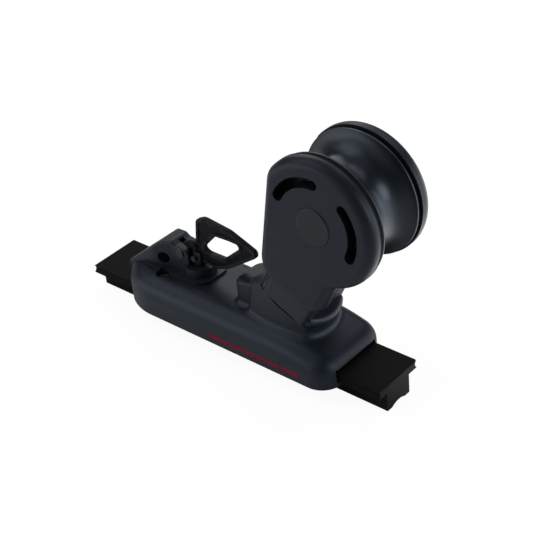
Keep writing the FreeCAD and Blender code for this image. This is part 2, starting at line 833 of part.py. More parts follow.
def cheek_outline():
    """The tongue below the disc, with its straight tapered back."""
    taper = math.radians(tongue_taper)
    away = V(-math.cos(taper), 0, -math.sin(taper))
    down = V(math.sin(taper), 0, -math.cos(taper))
    rise = math.sqrt(cheek_radius ** 2 - cheek_back ** 2)
    top = V(away).multiply(cheek_back).sub(V(down).multiply(rise))
    foot = top.add(V(down).multiply((top.z - tongue_bottom) / math.cos(taper)))
    tongue = rounded_outline([
        (top.x, top.z, 0),
        (foot.x, tongue_bottom, tongue_back_corner),
        (tongue_front, tongue_bottom, tongue_front_corner),
        (tongue_front, 0, 0),
        (0, 0, 0),
    ])
    behind = polygon([top.add(V(down).multiply(BIG)), top.sub(V(down).multiply(BIG)),
                      top.sub(V(down).multiply(BIG)).add(V(away).multiply(BIG)),
                      top.add(V(down).multiply(BIG)).add(V(away).multiply(BIG))])
    return tongue, behind, top


def polar(radius, angle):
    """A point at an angle in degrees from the raked axis, towards +X."""
    return V(radius * math.sin(math.radians(angle)), 0, radius * math.cos(math.radians(angle)))


def slot_cutter():
    """The curved slot on the +X side of a cheek."""
    outer = slot_circle_radius + slot_width / 2
    inner = slot_circle_radius - slot_width / 2
    half = slot_width / 2
    middle = (slot_start + slot_end) / 2
    before = polar(slot_circle_radius, slot_start).add(polar(half, slot_start - 90))
    beyond = polar(slot_circle_radius, slot_end).add(polar(half, slot_end + 90))
    wire = Part.Wire([
        Part.Arc(polar(outer, slot_start), polar(outer, middle), polar(outer, slot_end)).toShape(),
        Part.Arc(polar(outer, slot_end), beyond, polar(inner, slot_end)).toShape(),
        Part.Arc(polar(inner, slot_end), polar(inner, middle), polar(inner, slot_start)).toShape(),
        Part.Arc(polar(inner, slot_start), before, polar(outer, slot_start)).toShape(),
    ])
    return plate(wire, -cheek_outer - 5, cheek_outer + 5)


def make_cheek():
    """The near cheek, its outer face towards -Y."""
    tongue, behind, top = cheek_outline()
    disc = across(cheek_radius, 0, 0, -cheek_outer, -cheek_inner)
    disc = disc.cut(plate(behind, -cheek_outer - 1, -cheek_inner + 1))
    cheek = disc.fuse(plate(tongue, -cheek_outer, -cheek_inner)).removeSplitter()
    back = edges_where(cheek, lambda e: e.BoundBox.YLength > 1 and abs(e.BoundBox.XMin - top.x) < 0.1
                       and abs(e.BoundBox.ZMin - top.z) < 0.1)
    cheek = cheek.makeFillet(cheek_back_corner, back)
    corner = edges_where(cheek, lambda e: e.BoundBox.YLength > 1 and abs(e.BoundBox.XMin - tongue_front) < 0.2
                         and e.BoundBox.ZMin > tongue_bottom + tongue_front_corner + 1)
    cheek = cheek.makeFillet(neck_radius, corner)
    outer = edges_where(cheek, lambda e: e.BoundBox.YMax < -cheek_outer + 0.01)
    cheek = cheek.makeFillet(cheek_edge_radius, outer)
    for cutter in (slot_cutter(), slot_cutter().mirror(V(0, 0, 0), X_AXIS)):
        cheek = cheek.cut(cutter)
    cheek = cheek.cut(across(axle_diameter / 2, 0, 0, -BIG, 0))
    head_seat = cheek_outer + axle_head_proud - axle_head_thickness
    return cheek.cut(across(axle_head_diameter / 2 + 0.1, 0, 0, -BIG, -head_seat))


def make_cheeks():
    near = make_cheek()
    far = mirrored(near)
    head_seat = cheek_outer - cheek_screw_head_depth
    for x in cheek_screw_places():
        radius = cheek_screw_diameter / 2 + bore_play
        near = near.cut(across(radius, x, cheek_screw_level, -cheek_inner - cheek_screw_bite - 0.3, 0))
        far = far.cut(across(radius, x, cheek_screw_level, 0, BIG))
        far = far.cut(across(cheek_screw_head / 2 + 0.2, x, cheek_screw_level, head_seat, BIG))
    return near, far


def make_cheek_screws():
    screws = []
    seat = cheek_outer - cheek_screw_head_depth
    for x in cheek_screw_places():
        shank = across(cheek_screw_diameter / 2, x, cheek_screw_level, -cheek_inner - cheek_screw_bite, seat)
        head = across(cheek_screw_head / 2, x, cheek_screw_level, seat, cheek_outer - 0.3)
        key = across(cheek_screw_diameter / 2 - 0.4, x, cheek_screw_level, cheek_outer - 2.8, BIG)
        screws.append(shank.fuse(head).cut(key))
    return Part.makeCompound(screws)


def make_axle():
    seat = cheek_outer + axle_head_proud - axle_head_thickness
    head = across(axle_head_diameter / 2, 0, 0, -seat - axle_head_thickness, -seat)
    head = head.makeFillet(0.6, edges_where(head, lambda e: e.BoundBox.YMax < -seat - 1))
    shank = across(axle_diameter / 2, 0, 0, -seat, seat)
    bore = across(axle_screw_diameter / 2, 0, 0, seat - axle_screw_length - 0.5, BIG)
    return head.fuse(shank).cut(bore)


def make_axle_screw():
    seat = cheek_outer + axle_head_proud - axle_head_thickness
    head = across(axle_head_diameter / 2, 0, 0, seat, seat + axle_head_thickness)
    head = head.makeFillet(0.6, edges_where(head, lambda e: e.BoundBox.YMin > seat + 1))
    shank = across(axle_screw_diameter / 2, 0, 0, seat - axle_screw_length, seat)
    key = across(2.5, 0, 0, seat + 0.2, BIG)
    return head.fuse(shank).cut(key)


def make_sheave():
    """A wide wheel with a deep round tread, turned about Y."""
    half = sheave_width / 2
    land = half - rim_land
    floor = sheave_radius - tread_depth
    wire = Part.Wire([
        Part.makeLine(V(liner_outer, -half, 0), V(side_recess_inner, -half, 0)),
        Part.makeLine(V(side_recess_inner, -half, 0), V(side_recess_inner, side_recess_depth - half, 0)),
        Part.makeLine(V(side_recess_inner, side_recess_depth - half, 0),
                      V(side_recess_outer, side_recess_depth - half, 0)),
        Part.makeLine(V(side_recess_outer, side_recess_depth - half, 0), V(side_recess_outer, -half, 0)),
        Part.makeLine(V(side_recess_outer, -half, 0), V(sheave_radius - 0.5, -half, 0)),
        Part.makeLine(V(sheave_radius - 0.5, -half, 0), V(sheave_radius, 0.5 - half, 0)),
        Part.makeLine(V(sheave_radius, 0.5 - half, 0), V(sheave_radius, -land, 0)),
        Part.Arc(V(sheave_radius, -land, 0), V(floor, 0, 0), V(sheave_radius, land, 0)).toShape(),
        Part.makeLine(V(sheave_radius, land, 0), V(sheave_radius, half - 0.5, 0)),
        Part.makeLine(V(sheave_radius, half - 0.5, 0), V(sheave_radius - 0.5, half, 0)),
        Part.makeLine(V(sheave_radius - 0.5, half, 0), V(side_recess_outer, half, 0)),
        Part.makeLine(V(side_recess_outer, half, 0), V(side_recess_outer, half - side_recess_depth, 0)),
        Part.makeLine(V(side_recess_outer, half - side_recess_depth, 0),
                      V(side_recess_inner, half - side_recess_depth, 0)),
        Part.makeLine(V(side_recess_inner, half - side_recess_depth, 0), V(side_recess_inner, half, 0)),
        Part.makeLine(V(side_recess_inner, half, 0), V(liner_outer, half, 0)),
        Part.makeLine(V(liner_outer, half, 0), V(liner_outer, -half, 0)),
    ])
    return Part.Face(wire).revolve(V(0, 0, 0), Y_AXIS, 360)


def make_rollers():
    half = roller_length / 2
    rollers = []
    for i in range(roller_count):
        angle = math.radians(360.0 / roller_count * i)
        rollers.append(across(roller_diameter / 2, roller_circle * math.cos(angle),
                              roller_circle * math.sin(angle), -half, half))
    return Part.makeCompound(rollers)


def make_cage():
    half = cage_length / 2
    cage = tube(roller_circle + cage_wall / 2, roller_circle - cage_wall / 2, -half, half)
    reach = roller_length / 2 + bore_play
    for i in range(roller_count):
        angle = math.radians(360.0 / roller_count * i)
        cage = cage.cut(across(roller_diameter / 2 + bore_play, roller_circle * math.cos(angle),
                               roller_circle * math.sin(angle), -reach, reach))
    return cage


def make_thrust_ring():
    """The plastic ring that keeps the near side of the sheave off its cheek."""
    start = -cheek_inner + running_gap
    return tube(liner_outer + thrust_ring_width, liner_outer, start, start + thrust_ring_thickness)


def build():
    loaf = make_loaf()
    front_cap, back_cap = make_caps(loaf)
    balls = make_balls()
    save(make_rail(), "loader_rail")
    save(make_car(loaf), "car_body")
    save(front_cap, "front_end_cap")
    save(back_cap, "back_end_cap")
    save(make_cap_screws(0), "front_cap_screws")
    save(make_cap_screws(1), "back_cap_screws")
    save(balls, "far_bearing_balls")
    save(mirrored(balls), "near_bearing_balls")
    save(make_housing(loaf), "pin_housing")
    save(make_housing_screws(), "housing_screws")
    save(make_stop_pin(), "stop_pin")
    save(make_lift_pin(), "lift_pin")
    save(make_spring(), "stop_spring")
    save(make_pivot_pin(), "lever_pivot_pin")
    save(make_lever(), "lift_lever")
    save(raked(make_base()), "block_base")
    save(raked(make_king_pin()), "king_pin")
    save(raked(make_bush()), "king_pin_bush")
    save(raked(make_top_washer()), "seat_washer")
    save(raked(make_washer(king_head_diameter / 2, king_seat - washer_thickness)), "head_washer")
    near, far = make_cheeks()
    save(raked(near), "near_cheek")
    save(raked(far), "far_cheek")
    save(raked(make_cheek_screws()), "cheek_screws")
    save(raked(make_axle()), "axle")
    save(raked(make_axle_screw()), "axle_screw")
    save(raked(tube(sleeve_radius, axle_diameter / 2 + bore_play, -cheek_inner, cheek_inner)), "bearing_sleeve")
    save(raked(make_rollers()), "bearing_rollers")
    save(raked(make_cage()), "roller_cage")
    half = sheave_width / 2
    save(raked(tube(liner_outer, liner_bore, -half, half)), "sheave_liner")
    save(raked(make_sheave()), "sheave")
    ring = make_thrust_ring()
    save(raked(ring), "near_thrust_ring")
    save(raked(mirrored(ring)), "far_thrust_ring")


build()
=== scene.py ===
# %% [markdown]
# # A genoa car
#
# On deck this is the low car that leads a headsail's sheet. It rolls on balls along a T rail, a lever on
# its back lifts the pin that stops it in the rail's holes, and a wide sheave swivels on a raked post. The
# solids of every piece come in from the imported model. This script gives them their finishes, adds what is
# too fine for the solids or has to change shape, and sets the floor, the light and the camera.

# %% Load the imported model
import json
import math

import bpy
from mathutils import Matrix, Vector


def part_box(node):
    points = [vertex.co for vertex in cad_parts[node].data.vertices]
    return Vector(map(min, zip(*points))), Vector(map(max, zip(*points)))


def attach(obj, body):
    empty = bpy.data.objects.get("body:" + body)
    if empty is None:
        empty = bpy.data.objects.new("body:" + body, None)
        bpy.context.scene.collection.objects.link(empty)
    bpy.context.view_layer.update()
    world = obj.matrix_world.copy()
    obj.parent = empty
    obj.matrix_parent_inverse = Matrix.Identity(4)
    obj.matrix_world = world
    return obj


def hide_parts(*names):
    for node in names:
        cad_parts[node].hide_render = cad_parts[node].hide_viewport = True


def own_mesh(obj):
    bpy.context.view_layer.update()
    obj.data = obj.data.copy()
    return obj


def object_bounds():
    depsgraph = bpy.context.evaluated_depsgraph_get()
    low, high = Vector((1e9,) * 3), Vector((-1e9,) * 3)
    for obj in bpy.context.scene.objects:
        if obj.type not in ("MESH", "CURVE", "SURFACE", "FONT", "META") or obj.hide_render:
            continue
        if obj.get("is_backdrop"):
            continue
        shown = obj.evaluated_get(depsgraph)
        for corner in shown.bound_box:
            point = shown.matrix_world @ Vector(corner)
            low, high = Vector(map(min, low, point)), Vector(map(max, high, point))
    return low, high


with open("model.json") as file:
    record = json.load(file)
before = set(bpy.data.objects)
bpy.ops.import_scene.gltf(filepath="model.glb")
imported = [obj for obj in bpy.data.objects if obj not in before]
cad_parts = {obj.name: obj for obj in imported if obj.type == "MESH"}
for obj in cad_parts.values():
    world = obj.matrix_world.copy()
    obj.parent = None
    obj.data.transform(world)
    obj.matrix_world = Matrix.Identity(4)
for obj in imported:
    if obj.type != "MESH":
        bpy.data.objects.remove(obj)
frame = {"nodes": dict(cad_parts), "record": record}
nodes = frame["nodes"]
cad_low, cad_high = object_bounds()
MM = 0.001
print("nodes", len(nodes), "size in mm", [round(v / MM, 1) for v in cad_high - cad_low])

# %% [markdown]
# ## The camera
#
# The photograph was matched by moving a virtual camera until the rail, the body and the rims of the sheave
# lay on their edges in the picture. What is left is a heading, a height angle, a small roll, a focal length
# in pixels, a distance and a small shift sideways and up, which say more to a reader than a matrix of
# sixteen numbers would.

# %% The camera
IMAGE_PIXELS = 560
SENSOR_MM = 36.0
HEADING = math.radians(43.09)
HEIGHT_ANGLE = math.radians(34.67)
ROLL = math.radians(-5.61)
FOCAL_PIXELS = 1307.21
DISTANCE = 608.32 * MM
AIM_RIGHT = 15.29 * MM
AIM_UP = 24.71 * MM
NEAREST_SEEN = 10 * MM


def make_camera():
    """A camera that looks back along an arrow from the origin towards itself."""
    towards = Vector((math.sin(HEADING) * math.cos(HEIGHT_ANGLE),
                      -math.cos(HEADING) * math.cos(HEIGHT_ANGLE),
                      math.sin(HEIGHT_ANGLE)))
    level = Vector((math.cos(HEADING), math.sin(HEADING), 0))
    upright = towards.cross(level)
    right = level * math.cos(ROLL) + upright * math.sin(ROLL)
    up = upright * math.cos(ROLL) - level * math.sin(ROLL)
    place = right * AIM_RIGHT + up * AIM_UP + towards * DISTANCE
    turn = Matrix((right, up, towards)).transposed().to_4x4()
    camera = bpy.data.objects.new("camera", bpy.data.cameras.new("camera"))
    camera.matrix_world = Matrix.Translation(place) @ turn
    camera.data.sensor_width = SENSOR_MM
    camera.data.lens = FOCAL_PIXELS / IMAGE_PIXELS * SENSOR_MM
    camera.data.clip_start = NEAREST_SEEN
    bpy.context.scene.collection.objects.link(camera)
    bpy.context.scene.camera = camera
    return camera


camera = make_camera()
print("camera at", [round(v, 3) for v in camera.matrix_world.translation])

# %% [markdown]
# ## Writing node trees as sums
#
# A node tree drawn by hand is hard to read back. Here one small class wraps a socket, so that an
# expression such as `1 - mask * 0.3` adds its own Math nodes, and one method adds any other node from its
# type, its settings and its inputs. Materials and Geometry Nodes trees are both written this way.

# %% A socket that can be written in a sum


class Signal:
    """One number that varies over a surface or along a mesh."""

    def __init__(self, maker, socket):
        self.maker = maker
        self.socket = socket

    def math(self, operation, *others):
        sockets = dict(enumerate((self, *others)))
        return self.maker.node("ShaderNodeMath", {"operation": operation}, sockets).signal()

    def __add__(self, other):
        return self.math("ADD", other)

    __radd__ = __add__

    def __mul__(self, other):
        return self.math("MULTIPLY", other)

    __rmul__ = __mul__

    def __sub__(self, other):
        return self.math("SUBTRACT", other)

    def __rsub__(self, other):
        return (self * -1) + other

    def __truediv__(self, other):
        return self.math("DIVIDE", other)

    def step(self, start, end):
        """0 below start, 1 above end, smooth between them."""
        settings = {"interpolation_type": "SMOOTHSTEP"}
        sockets = {"Value": self, "From Min": start, "From Max": end}
        return self.maker.node("ShaderNodeMapRange", settings, sockets).signal()


class Made:
    """A node that was added, and its outputs."""

    def __init__(self, maker, node):
        self.maker = maker
        self.node = node

    def signal(self, name=0):
        return Signal(self.maker, self.node.outputs[name])

    def out(self, name=0):
        return self.node.outputs[name]


class Tree:
    """A node tree whose nodes are all added by one method."""

    def __init__(self, tree):
        self.tree = tree

    def connect(self, value, socket):
        if isinstance(value, Signal):
            value = value.socket
        if isinstance(value, bpy.types.NodeSocket):
            self.tree.links.new(value, socket)
        else:
            socket.default_value = value

    def node(self, kind, settings=None, sockets=None):
        made = self.tree.nodes.new(kind)
        for name, value in (settings or {}).items():
            setattr(made, name, value)
        for name, value in (sockets or {}).items():
            self.connect(value, made.inputs[name])
        return Made(self, made)

    def vector(self, x, y, z):
        return self.node("ShaderNodeCombineXYZ", {}, {"X": x, "Y": y, "Z": z}).out()

    def split(self, vector):
        parts = self.node("ShaderNodeSeparateXYZ", {}, {"Vector": vector})
        return parts.signal("X"), parts.signal("Y"), parts.signal("Z")


print("sums ready:", ", ".join(kind.__name__ for kind in (Signal, Made, Tree)))

# %% [markdown]
# ## A material as a recipe
#
# Every material here has one Principled shader. Its patterns read Object coordinates, which are metres on
# the object itself, so a grain can be given its real size. Three things recur: soft noise, a mix of two
# colours by a mask, and a relief too fine for the mesh. Corners, lightened partly as wear and partly as a
# painted highlight, are found by comparing the true normal with one that the Bevel node has rounded.

# %% A material with one Principled shader
NOISE_ROUGHNESS = 0.55
BEVEL_SAMPLES = 6
CORNER_FROM, CORNER_FULL = 0.01, 0.2
# The Mix node's colour sockets share their names with its number sockets, so they go by their places.
MIX_FIRST, MIX_SECOND, MIX_RESULT = 6, 7, 2


class Recipe(Tree):
    """A material with one Principled shader."""

    def __init__(self, name):
        self.material = bpy.data.materials.new(name)
        self.material.use_nodes = True
        super().__init__(self.material.node_tree)
        self.shader = self.tree.nodes["Principled BSDF"]
        self.place = self.node("ShaderNodeTexCoord").out("Object")
        self.x, self.y, self.z = self.split(self.place)

    def noise(self, size, detail=3.0, place=None):
        """Soft random grain, about size metres from one light patch to the next."""
        sockets = {"Vector": place or self.place, "Scale": 1 / size, "Detail": detail,
                   "Roughness": NOISE_ROUGHNESS}
        return self.node("ShaderNodeTexNoise", {}, sockets).signal("Fac")

    def mix(self, share, first, second):
        """A colour between two colours."""
        sockets = {"Factor": share,
                   MIX_FIRST: (*first, 1) if isinstance(first, tuple) else first,
                   MIX_SECOND: (*second, 1) if isinstance(second, tuple) else second}
        return self.node("ShaderNodeMix", {"data_type": "RGBA"}, sockets).out(MIX_RESULT)

    def bump(self, height, depth):
        """A relief of depth metres, as the normal of the surface."""
        sockets = {"Height": height, "Distance": depth, "Strength": 1.0}
        self.set(Normal=self.node("ShaderNodeBump", {}, sockets).out("Normal"))

    def edges(self, reach):
        """1 on the outer corners and inner corners that lie within reach metres, 0 on the flats."""
        rounded = self.node("ShaderNodeBevel", {"samples": BEVEL_SAMPLES}, {"Radius": reach}).out("Normal")
        flat = self.node("ShaderNodeNewGeometry").out("Normal")
        both = self.node("ShaderNodeVectorMath", {"operation": "DOT_PRODUCT"}, {0: rounded, 1: flat})
        return (1 - both.signal("Value")).step(CORNER_FROM, CORNER_FULL)

    def source_of(self, name):
        """The socket that already feeds one of the shader's inputs."""
        return self.shader.inputs[name].links[0].from_socket

    def set(self, **sockets):
        for name, value in sockets.items():
            self.connect(value, self.shader.inputs[name.replace("_", " ")])
        return self


print("recipe ready: noise, mix, bump and edges")

# %% [markdown]
# ## The floor
#
# The car was photographed on white. A lamp strong enough to burn the floor to white would wash the black
# out, so most of the whiteness is given to the camera alone: the Light Path node tells a ray from the
# camera apart from the rays that light the object. The floor keeps a faint shadow. Reflections see the
# floor as the lamps light it, with the car's own shadow on it, and that is what shapes black metal. Past
# the car's front end they also see a bright patch, as if a white card lay there, which brightens the faces
# that look forward. A real card would show in the picture, and this one shows in reflections alone.

# %% The floor
FLOOR_SIZE = 6.0
FLOOR_WHITE = 0.9
FLOOR_ROUGHNESS = 0.9
FLOOR_MIRRORED = 0.02
FLOOR_GLOW = 1.06
SHADOW_SHARE = 0.12
CARD_GLOW = 2.5
CARD_SHARE = 0.9
CARD_BACK_EDGE = (60 * MM, 95 * MM)
CARD_NEAR_EDGE = (-25 * MM, 25 * MM)


def make_floor():
    mesh = bpy.data.meshes.new("floor")
    half, level = FLOOR_SIZE / 2, cad_low.z
    corners = [(-half, -half, level), (half, -half, level), (half, half, level), (-half, half, level)]
    mesh.from_pydata(corners, [], [(0, 1, 2, 3)])
    floor = bpy.data.objects.new("floor", mesh)
    bpy.context.scene.collection.objects.link(floor)
    recipe = Recipe("floor_white")
    recipe.set(Base_Color=(FLOOR_WHITE, FLOOR_WHITE, FLOOR_WHITE, 1), Roughness=FLOOR_ROUGHNESS)
    rays = recipe.node("ShaderNodeLightPath")
    seen, mirrored = rays.signal("Is Camera Ray"), rays.signal("Is Glossy Ray")
    card = recipe.x.step(*CARD_BACK_EDGE) * recipe.y.step(*CARD_NEAR_EDGE)
    light = seen * FLOOR_GLOW + mirrored * (card * (CARD_GLOW - 1) + 1)
    glow = recipe.node("ShaderNodeEmission", {}, {"Color": (1, 1, 1, 1), "Strength": light})
    share = seen * (1 - SHADOW_SHARE) + mirrored * (card * CARD_SHARE + FLOOR_MIRRORED)
    lit = recipe.shader.outputs["BSDF"]
    both = recipe.node("ShaderNodeMixShader", {}, {0: share, 1: lit, 2: glow.out()})
    recipe.connect(both.out(), recipe.tree.nodes["Material Output"].inputs["Surface"])
    mesh.materials.append(recipe.material)
    floor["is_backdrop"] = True
    return floor


floor = make_floor()
print(floor.name, FLOOR_SIZE, "m wide, at", round(abs(cad_low.z), 4))

# %% [markdown]
# ## The world
#
# The world stands for the room round the studio. The camera sees it white, so that the background has no
# edge where the floor ends. Everything else sees it nearly dark, because the lamps do the lighting and a
# black car shows whatever surrounds it.

# %% The world
WORLD_LIGHT = 0.08
WORLD_MIRRORED = 0.04
WORLD_SEEN = 1.0


def make_world():
    world = bpy.data.worlds.new("studio")
    bpy.context.scene.world = world
    world.use_nodes = True
    room = Tree(world.node_tree)
    rays = room.node("ShaderNodeLightPath")
    seen, mirrored = rays.signal("Is Camera Ray"), rays.signal("Is Glossy Ray")
    strength = seen * (WORLD_SEEN - WORLD_LIGHT) + mirrored * (WORLD_MIRRORED - WORLD_LIGHT) + WORLD_LIGHT
    background = world.node_tree.nodes["Background"]
    room.connect((1, 1, 1, 1), background.inputs["Color"])
    room.connect(strength, background.inputs["Strength"])


make_world()
bpy.context.scene.view_settings.view_transform = "Standard"
print("world", WORLD_LIGHT, "for light,", WORLD_MIRRORED, "in reflections")

# %% [markdown]
# ## The lamps
#
# Each face of black metal is as bright as what it mirrors, so the lamps are large soft boxes, and each
# stands where one set of faces mirrors it: the near wall, the ends, the crown, the turret or the groove of
# the sheave. Each was rendered alone, and the powers were then solved so that their sum comes near the
# brightness of those faces in the photograph.

# %% The lamps
MIDDLE = Vector((0.01, 0, 0.05))
# name: (place, width and height in metres, watts)
LAMPS = {
    "side_softbox": ((0.928, 0.081, 0.353), (0.5, 0.5), 3.4),
    "near_wall": ((-0.622, -0.741, 0.203), (0.9, 0.5), 3.0),
    "near_softbox": ((-0.546, -0.315, 0.801), (0.7, 0.7), 2.5),
    "near_fill": ((-0.074, -0.845, 0.54), (0.7, 0.6), 0.8),
    "back_wall": ((-0.6, 0.6, 0.54), (0.6, 0.5), 2.0),
    "back_softbox": ((0.057, 0.653, 0.778), (0.6, 0.6), 1.6),
    "far_wall": ((0.719, 0.648, 0.203), (0.6, 0.4), 1.6),
    "top_softbox": ((-0.05, 0.0, 1.0), (0.8, 0.8), 0.6),
}


def make_lamp(name, place, size, watts):
    """A soft box that looks at the middle of the car."""
    lamp = bpy.data.lights.new(name, "AREA")
    lamp.shape = "RECTANGLE"
    lamp.size, lamp.size_y = size
    lamp.energy = watts
    holder = bpy.data.objects.new(name, lamp)
    away = (Vector(place) - MIDDLE).normalized()
    turn = away.to_track_quat("Z", "Y").to_matrix().to_4x4()
    holder.matrix_world = Matrix.Translation(place) @ turn
    bpy.context.scene.collection.objects.link(holder)
    return holder


lamps = [make_lamp(name, *lamp) for name, lamp in LAMPS.items()]
print("lamps", [lamp.name for lamp in lamps])

# %% [markdown]
# ## The finishes
#
# Every finish is a recipe of the same few parts: a base colour that drifts a little, a roughness that
# drifts with it, and a relief at the scale of the real process, such as blasting, moulding or turning. The
# blacks are far apart in sheen rather than in colour, as they are on the real car.

# %% What several finishes share
COATING_TINT = (0.68, 0.8, 1.0, 1)
NO_TINT = (1, 1, 1, 1)
BODY_BLACK = (0.0062, 0.0080, 0.0125)


def paler(colour, times, lift):
    """The light end of a colour's drift."""
    return tuple(channel * times + lift for channel in colour)


print("the body's black is", BODY_BLACK)

# %% [markdown]
# ## Hard anodised metal
#
# The body, the turret and the cheeks are aluminium that was blasted and then hard anodised, which leaves a
# blue black coat with a soft sheen. A flat colour would look like plastic. So a fine even noise gives the
# blasting, a slow one the drift of the coat, and a stretched one the faint marks of handling. The coat is a
# little lighter on the corners, partly as rubbed wear and partly as a painted highlight along the edges.

# %% Hard anodised metal
DRIFT_SIZE = 14 * MM
BLAST_SIZE, BLAST_DEPTH = 0.25 * MM, 0.012 * MM
MARK_SIZE = (9 * MM, 1.6 * MM, 2.2 * MM)
MARKS_FROM, MARKS_FULL = 0.6, 0.74
EDGE_REACH = 0.35 * MM
RUBBED_AND_HIGHLIT_EDGE = (0.035, 0.040, 0.050)
EDGE_PATCH = 1.6 * MM
EDGE_PATCH_FROM, EDGE_PATCH_FULL = 0.3, 0.65
DRIFT_ROUGHENS, MARKS_SMOOTH, WEAR_SMOOTHS = 0.12, 0.05, 0.08


def anodised(name, base, roughness, shine, blast=BLAST_SIZE):
    """Blasted and hard anodised: a fine even grain under a soft sheen, with faint handling marks."""
    recipe = Recipe(name)
    drift = recipe.noise(DRIFT_SIZE, detail=2)
    grain = recipe.noise(blast, detail=4)
    stretched = recipe.vector(recipe.x / MARK_SIZE[0], recipe.y / MARK_SIZE[1], recipe.z / MARK_SIZE[2])
    marks = recipe.noise(1, detail=4, place=stretched).step(MARKS_FROM, MARKS_FULL)
    # Lighter corners, partly rubbed wear and partly a painted highlight along the edges.
    recoloured = recipe.edges(EDGE_REACH) * recipe.noise(EDGE_PATCH, detail=4).step(EDGE_PATCH_FROM, EDGE_PATCH_FULL)
    coat = recipe.mix(drift, base, paler(base, times=1.5, lift=0.002))
    recipe.set(Base_Color=recipe.mix(recoloured, coat, RUBBED_AND_HIGHLIT_EDGE),
               Specular_IOR_Level=shine, Specular_Tint=COATING_TINT,
               Roughness=roughness + (drift - 0.5) * DRIFT_ROUGHENS - marks * MARKS_SMOOTH
               - recoloured * WEAR_SMOOTHS)
    recipe.bump(grain, BLAST_DEPTH)
    return recipe


body_finish = anodised("hard_anodised_body", BODY_BLACK, roughness=0.42, shine=0.3)
turret_finish = anodised("hard_anodised_turret", BODY_BLACK, roughness=0.4, shine=0.36)
print("anodised", body_finish.material.name, "and", turret_finish.material.name)

# %% [markdown]
# ## The cheeks
#
# The cheeks are anodised like the body. In the photograph a dark line of shade runs between the near cheek
# and the rim of the sheave, where little light reaches. The line is drawn wider by painted shade, a matt,
# nearly black band on the inner edge of the near cheek. A mask on the Y coordinate is enough for it, because
# the cheek stands square to Y.

# %% The cheeks, the near one with painted shade where it runs along the sheave
CHEEK_BLACK = (0.0070, 0.0085, 0.0120)
GAP_SHADE_BLACK = (0.0006, 0.0006, 0.0007)
CHEEK_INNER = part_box("far_cheek")[0].y
GAP_SHADE_WIDTH = 1.2 * MM
GAP_SHADE_SOLID = 0.7
GAP_SHADE_ROUGHENS = 0.5


def make_cheek_finish():
    """Anodised, with painted shade on the near cheek's edge, in the gap beside the sheave."""
    finish = anodised("hard_anodised_cheek", CHEEK_BLACK, roughness=0.4, shine=0.23)
    # Painted shade: a matt, nearly black band on the near cheek's inner edge, where the gap to the sheave is
    # shaded.
    inner = finish.y.step(-CHEEK_INNER - GAP_SHADE_WIDTH, -CHEEK_INNER - GAP_SHADE_WIDTH * GAP_SHADE_SOLID)
    near = 1 - finish.y.step(0, CHEEK_INNER / 2)
    painted_gap_shade = inner * near
    coat = finish.source_of("Base Color")
    roughness = Signal(finish, finish.source_of("Roughness"))
    finish.set(Base_Color=finish.mix(painted_gap_shade, coat, GAP_SHADE_BLACK), Roughness=roughness + painted_gap_shade * GAP_SHADE_ROUGHENS)
    return finish


cheek_finish = make_cheek_finish()
print("the cheeks' inner faces are", round(CHEEK_INNER / MM, 2), "mm from the middle")

# %% [markdown]
# ## The lever
#
# The lever is a cut plate in a deeper black, blasted more coarsely. Fingers rub it along the edges of its
# two flat sides, so the rubbed grey is a mask on how far a point lies from the middle of the plate, broken
# up by a noise so that it isn't an even line.

# %% The lever, its edges rubbed by fingers
LEVER_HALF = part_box("lift_lever")[1].y
LEVER_BLACK = (0.0024, 0.0024, 0.0032)
LEVER_RUBBED = (0.020, 0.020, 0.024)
LEVER_BLAST = 0.4 * MM
RUB_FROM, RUB_FULL = LEVER_HALF - 0.55 * MM, LEVER_HALF - 0.05 * MM
RUB_PATCH = 2.5 * MM
RUB_PATCH_FROM, RUB_PATCH_FULL = 0.3, 0.6


def make_lever_finish():
    finish = anodised("hard_anodised_lever", LEVER_BLACK, roughness=0.4, shine=0.09, blast=LEVER_BLAST)
    rubbed = finish.y.math("ABSOLUTE").step(RUB_FROM, RUB_FULL)
    patchy = finish.noise(RUB_PATCH, detail=4).step(RUB_PATCH_FROM, RUB_PATCH_FULL)
    finish.set(Base_Color=finish.mix(rubbed * patchy, LEVER_BLACK, LEVER_RUBBED))
    return finish


lever_finish = make_lever_finish()
print("the lever is", round(2 * LEVER_HALF / MM, 2), "mm thick")

# %% [markdown]
# ## Turned metal
#
# The sheave, its axle, the pins and the screws come off a lathe, which leaves fine rings. They are made by
# a noise that reads the distance from the axle instead of X and Z, so that it is the same all the way
# round. The axle and its screw have the coating's tint, and the steel ones are metallic.

# %% Turned metal
SHEAVE_CENTRE = sum(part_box("sheave"), Vector()) / 2
RING_SIZE, RING_DEPTH = 0.35 * MM, 0.008 * MM
TURNED_DRIFT = 12 * MM
RINGS_ROUGHEN, TURNED_DRIFT_ROUGHENS = 0.16, 0.06


def turned(name, base, roughness, shine=0.5, tint=NO_TINT, metallic=0.0):
    """Cut on a lathe about the sheave's axle: fine rings round it."""
    recipe = Recipe(name)
    across, up = recipe.x - SHEAVE_CENTRE.x, recipe.z - SHEAVE_CENTRE.z
    radius = (across * across + up * up).math("SQRT")
    rings = recipe.noise(RING_SIZE, detail=3, place=recipe.vector(radius, recipe.y, 0))
    drift = recipe.noise(TURNED_DRIFT, detail=2)
    recipe.set(Base_Color=recipe.mix(rings, base, paler(base, times=1.4, lift=0.002)), Metallic=metallic,
               Specular_IOR_Level=shine, Specular_Tint=tint,
               Roughness=roughness + (rings - 0.5) * RINGS_ROUGHEN
               + (drift - 0.5) * TURNED_DRIFT_ROUGHENS)
    recipe.bump(rings, RING_DEPTH)
    return recipe


